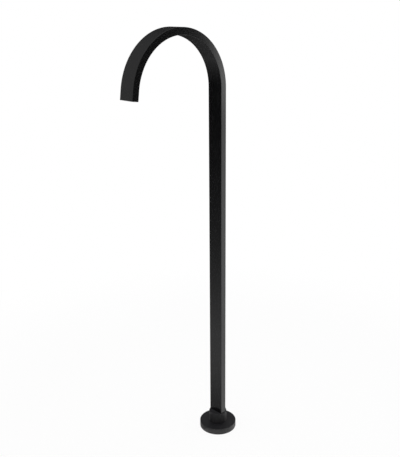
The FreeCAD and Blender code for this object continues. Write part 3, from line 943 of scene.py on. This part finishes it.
blank = grown(moulded_grid, {
    "Width": GRID_WIDTH,
    "Depth": GRID_DEPTH,
    "Height": GRID_HEIGHT,
    "Start": GRID_START,
    "Pitch": GRID_PITCH,
    "Cell": GRID_CELL,
    "Columns": GRID_COLUMNS,
    "Rows": GRID_ROWS,
})
sinks = []
for side in (-1, 1):
    sink = grown(threaded_bar, {
        "Radius": SINK_SHANK,
        "Length": GRID_HEIGHT + 2 * SINK_PAST,
        "Pitch": GRID_HEIGHT,
        "Depth": 0,
        "Head": SINK_HEAD + SINK_PAST,
        "Start": GRID_START - SINK_PAST,
        "Sides": SCREW_SIDES,
    })
    sink.data.transform(Matrix.Translation((side * SCREW_SPREAD, 0, 0)))
    sinks.append(sink)
blank = worked(blank, sinks)
mouth_y = ARCH_RADIUS * (math.cos(ARCH_SWEEP) - 1) - MOUTH_RUN * math.sin(ARCH_SWEEP)
mouth_height = SPRING_HEIGHT + ARCH_RADIUS * math.sin(ARCH_SWEEP) + MOUTH_RUN * math.cos(ARCH_SWEEP)
into_mouth = Matrix.Translation((0, mouth_y, mouth_height)) @ Matrix.Rotation(ARCH_SWEEP - math.pi, 4, "X")
blank.data.transform(into_mouth)
straightener = finished(blank, "moulded_straightener", black_acetal, MOULDED_EDGE)
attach(straightener, "spout")
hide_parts("flow_straightener")


# --- Outlet screws ----------------------------------------------------------------------
# Two M2 countersunk socket screws hold the straightener up into the frame. They are stainless,
# headed cold, threaded by rolling and tumbled with the rest of their batch.
OUTLET_SCREW_RADIUS = 0.0010
OUTLET_SCREW_LENGTH = 0.0090
OUTLET_SCREW_PITCH = 0.0004
OUTLET_SCREW_THREAD = 0.00022   # depth
OUTLET_SCREW_HEAD = 0.0019      # radius
OUTLET_SCREW_KEY = 0.0013       # across flats
OUTLET_SCREW_KEY_DEPTH = 0.00095

pair_of_screws = grown(socket_screws, {
    "Radius": OUTLET_SCREW_RADIUS,
    "Length": OUTLET_SCREW_LENGTH,
    "Pitch": OUTLET_SCREW_PITCH,
    "Depth": OUTLET_SCREW_THREAD,
    "Head": OUTLET_SCREW_HEAD,
    "Sides": SCREW_SIDES,
    "Key": OUTLET_SCREW_KEY,
    "Key Depth": OUTLET_SCREW_KEY_DEPTH,
    "Start": GRID_START,
    "Spread": SCREW_SPREAD,
    "Turn": 0,
})
pair_of_screws.data.transform(into_mouth)
outlet_screws = finished(pair_of_screws, "countersunk_screws", tumbled_stainless)
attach(outlet_screws, "spout")
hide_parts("outlet_screws")


# --- Cover ------------------------------------------------------------------------------
# The loose disc that hides the floor fixing: a turned brass shell, its black coat between the
# column's and the neck's in gloss. Its black is lighter than the column's: painted light, for the
# light that falls on its top. A boss round the neck holds the O-ring that grips it, the underside
# is open over the plate, and a rubber ring lies under the rim.
# a lighter black than the column's coat: painted light on the cover's top
DULL_COAT_PAINTED_LIGHT = "#1B1B1D"
COVER_EDGE = 0.0008
COVER_WALL = 0.0030
COVER_TOP_WALL = 0.0030
COVER_HOLE = 0.0003         # gap to the neck
COVER_GROOVE = 0.00234      # depth of the O-ring's groove beyond the neck
COVER_GROOVE_LOW = 0.0112
COVER_GROOVE_HIGH = 0.0135
COVER_BOSS = 0.00434        # metal round the groove, beyond the neck
COVER_BOSS_LOW = 0.0090
SEAL_SIZE = 0.0015

# The same coat as the column's in truth; its lighter colour here is painted light.
matt_black = black_lacquer("matt_black_lacquer", DULL_COAT_PAINTED_LIGHT, 0.36, 0.42)

cover_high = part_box("cover_flange")[1]
cover_radius = cover_high.x
inner_wall = cover_radius - COVER_WALL
hole = neck_radius + COVER_HOLE
blank = turned([
    (hole, COVER_BOSS_LOW, 0),
    (neck_radius + COVER_BOSS, COVER_BOSS_LOW, 0),
    (neck_radius + COVER_BOSS, cover_high.z - COVER_TOP_WALL, 0),
    (inner_wall, cover_high.z - COVER_TOP_WALL, 0),
    (inner_wall, SEAL_SIZE, 0),
    (inner_wall + SEAL_SIZE, SEAL_SIZE, 0),
    (inner_wall + SEAL_SIZE, 0, 0),
    (cover_radius, 0, 0),
    (cover_radius, cover_high.z, COVER_EDGE),
    (hole, cover_high.z, 0),
    (hole, COVER_GROOVE_HIGH, 0),
    (neck_radius + COVER_GROOVE, COVER_GROOVE_HIGH, 0),
    (neck_radius + COVER_GROOVE, COVER_GROOVE_LOW, 0),
    (hole, COVER_GROOVE_LOW, 0),
])
cover = finished(blank, "floor_cover", matt_black)
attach(cover, "cover")
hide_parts("cover_flange")
for node in ("cover_oring", "cover_seal"):
    coat_node(node, black_rubber)


# --- Studio -----------------------------------------------------------------------------
# A white floor and a white surround, a soft lamp overhead, and grey cards that only reflections
# see: they stand where a photographer stands flags and reflectors to draw the edges of a dark
# coat. The cards light nothing and throw no shadow.
WHITE = "#FFFFFF"
FLOOR_RADIUS = 12.0
SHADOW_SHARE = 0.12         # how much of the floor's white comes from the lamp near the object
SHADOW_REACH = 1.2          # beyond this the floor is plain white
ROOM_LIGHT = 0.25           # strength of the surround's light on the object
CARD_STEP = 5               # degrees from one column of a card's faces to the next
LAMP_SIZE = 1.6
LAMP_WATTS = 50.0
LAMP_PLACE = Vector((0.1, -0.1, 2.6))
LAMP_AIM = Vector((0, 0, 0.4))


def seen_directly(tree):
    """One for rays from the camera, a mirror or a clear body, and none for scattered light."""
    seen = add(tree, "ShaderNodeLightPath").outputs
    direct = calc(tree, "MAXIMUM", seen["Is Camera Ray"], seen["Is Glossy Ray"])
    return calc(tree, "MAXIMUM", direct, seen["Is Transmission Ray"])


floor = bpy.data.objects.new("studio_floor", bpy.data.meshes.new("studio_floor"))
shape = bmesh.new()
bmesh.ops.create_circle(shape, cap_ends=True, segments=96, radius=FLOOR_RADIUS)
shape.to_mesh(floor.data)
shape.free()
scene.collection.objects.link(floor)
floor_white, tree = new_finish("studio_floor")
place = add(tree, "ShaderNodeTexCoord").outputs["Object"]
away = add(tree, "ShaderNodeVectorMath", {0: place}, operation="LENGTH").outputs["Value"]
white_share = add(tree, "ShaderNodeMapRange", {
    "Value": away,
    "From Min": 0.4 * SHADOW_REACH,
    "From Max": SHADOW_REACH,
    "To Min": 1 - SHADOW_SHARE,
    "To Max": 1.0,
}, interpolation_type="SMOOTHSTEP").outputs["Result"]
share = calc(tree, "MULTIPLY", seen_directly(tree), white_share)
matt = add(tree, "ShaderNodeBsdfDiffuse", {"Color": linear(WHITE)})
glow = add(tree, "ShaderNodeEmission", {"Color": linear(WHITE), "Strength": 1.0})
mixed = add(tree, "ShaderNodeMixShader", {0: share, 1: matt.outputs["BSDF"], 2: glow.outputs["Emission"]})
add(tree, "ShaderNodeOutputMaterial", {"Surface": mixed.outputs["Shader"]})
floor.data.materials.append(floor_white)

world = bpy.data.worlds.new("studio")
world.use_nodes = True
scene.world = world
tree = world.node_tree
tree.nodes.clear()
strength = add(tree, "ShaderNodeMapRange", {
    "Value": seen_directly(tree),
    "To Min": ROOM_LIGHT,
    "To Max": 1.0,
})
surround = add(tree, "ShaderNodeBackground", {"Color": linear(WHITE), "Strength": strength.outputs["Result"]})
add(tree, "ShaderNodeOutputWorld", {"Surface": surround.outputs["Background"]})

card_grey, tree = new_finish("studio_card")
brightness = add(tree, "ShaderNodeAttribute", attribute_name="brightness").outputs["Fac"]
glow = add(tree, "ShaderNodeEmission", {"Color": linear(WHITE), "Strength": brightness})
add(tree, "ShaderNodeOutputMaterial", {"Surface": glow.outputs["Emission"]})


def card(name, start, stop, stations, shares=(1.0, 1.0)):
    """A card round the object between two azimuths in degrees, through (radius, height, brightness)."""
    columns = max(2, round(abs(stop - start) / CARD_STEP))
    points, levels = [], []
    for radius, height, brightness in stations:
        for column in range(columns + 1):
            share = column / columns
            turn = math.radians(start + (stop - start) * share)
            points.append((radius * math.cos(turn), radius * math.sin(turn), height))
            levels.append(brightness * (shares[0] + (shares[1] - shares[0]) * share))
    faces = []
    for row in range(len(stations) - 1):
        for column in range(columns):
            first = row * (columns + 1) + column
            faces.append((first, first + 1, first + columns + 2, first + columns + 1))
    mesh = bpy.data.meshes.new(name)
    mesh.from_pydata(points, [], faces)
    mesh.materials.append(card_grey)
    mesh.attributes.new("brightness", "FLOAT", "POINT").data.foreach_set("value", levels)
    piece = bpy.data.objects.new(name, mesh)
    scene.collection.objects.link(piece)
    piece.visible_camera = False
    piece.visible_diffuse = False
    piece.visible_shadow = False


# Azimuths run from +X toward +Y. Walls stand near the object or at the room's edge, and floor
# cards lie a hair above the floor, outside the cover.
LIFT = 0.003
NEAR_WALL = 0.55
ROOM_EDGE = 3.0
CEILING = 5.0

# Bright, behind and to the right: it shows in the column's side, most at the bend's height, and
# in the right of the cover and the neck.
card("bright_wall_back", 42, 95, [
    (NEAR_WALL, LIFT, 1.3),
    (NEAR_WALL, 0.74, 1.5),
    (NEAR_WALL, 0.80, 2.3),
    (NEAR_WALL, 0.86, 2.3),
    (NEAR_WALL, 0.90, 1.9),
    (NEAR_WALL, 1.10, 1.9),
])
NEAR_FLOOR = [(0.047, LIFT, 0.5), (0.065, LIFT, 0.7), (0.085, LIFT, 1.2), (NEAR_WALL, LIFT, 1.2)]
card("bright_floor_back", 30, 60, NEAR_FLOOR)
card("bright_floor_far_back", 60, 95, NEAR_FLOOR, (0.6, 0.6))

# Dark, to the right and behind: it keeps the arch's inner side and the cover's top black.
card("dark_wall_right", -40, 42, [(ROOM_EDGE, 0.0, 0.02), (ROOM_EDGE, CEILING, 0.02)])
card("dark_floor_right", -20, 30, [(0.20, LIFT, 0.08), (ROOM_EDGE, LIFT, 0.08)])
card("dark_floor_near", -70, 30, [(0.075, LIFT, 0.8), (0.085, LIFT, 0.2), (0.20, LIFT, 0.2)])
card("dark_wall_back", 42, 150, [(ROOM_EDGE, 0.0, 0.04), (ROOM_EDGE, CEILING, 0.04)])
card("low_wall_back", 118, 148, [(NEAR_WALL, 0.25, 0.27), (NEAR_WALL, 0.50, 0.27)])

# Dim, in front and to the left: it shows in the broad faces, from black under the bend to grey
# near the foot, and in the arch's outer face.
HORIZON = [(0.0, 0.04), (0.20, 0.04), (0.30, 0.0), (0.70, 0.0), (0.80, 0.45), (CEILING, 0.38)]
card("dim_wall_left", 150, 225, [(ROOM_EDGE, height, level) for height, level in HORIZON], (0.12, 1.0))
card("dim_wall_front", 225, 320, [(ROOM_EDGE, height, level) for height, level in HORIZON])
POOL = [
    (0.06, 0.24), (0.12, 0.27), (0.30, 0.49), (0.50, 0.53),
    (0.80, 0.36), (1.2, 0.22), (2.0, 0.10), (ROOM_EDGE, 0.06),
]
card("dim_floor_back", 95, 195, [(radius, LIFT, level) for radius, level in POOL], (0.2, 0.6))
card("dim_floor_front", 195, 290, [(radius, LIFT, level) for radius, level in POOL])
card("near_floor_left", 150, 265, [(0.047, LIFT, 0.42), (0.06, LIFT, 0.42)])

lamp = bpy.data.objects.new("overhead_softbox", bpy.data.lights.new("overhead_softbox", "AREA"))
lamp.data.shape = "SQUARE"
lamp.data.size = LAMP_SIZE
lamp.data.energy = LAMP_WATTS
lamp.location = LAMP_PLACE
lamp.rotation_euler = (LAMP_AIM - LAMP_PLACE).to_track_quat("-Z", "Y").to_euler()
lamp.visible_camera = False
lamp.visible_glossy = False
scene.collection.objects.link(lamp)

scene.view_settings.view_transform = "Standard"
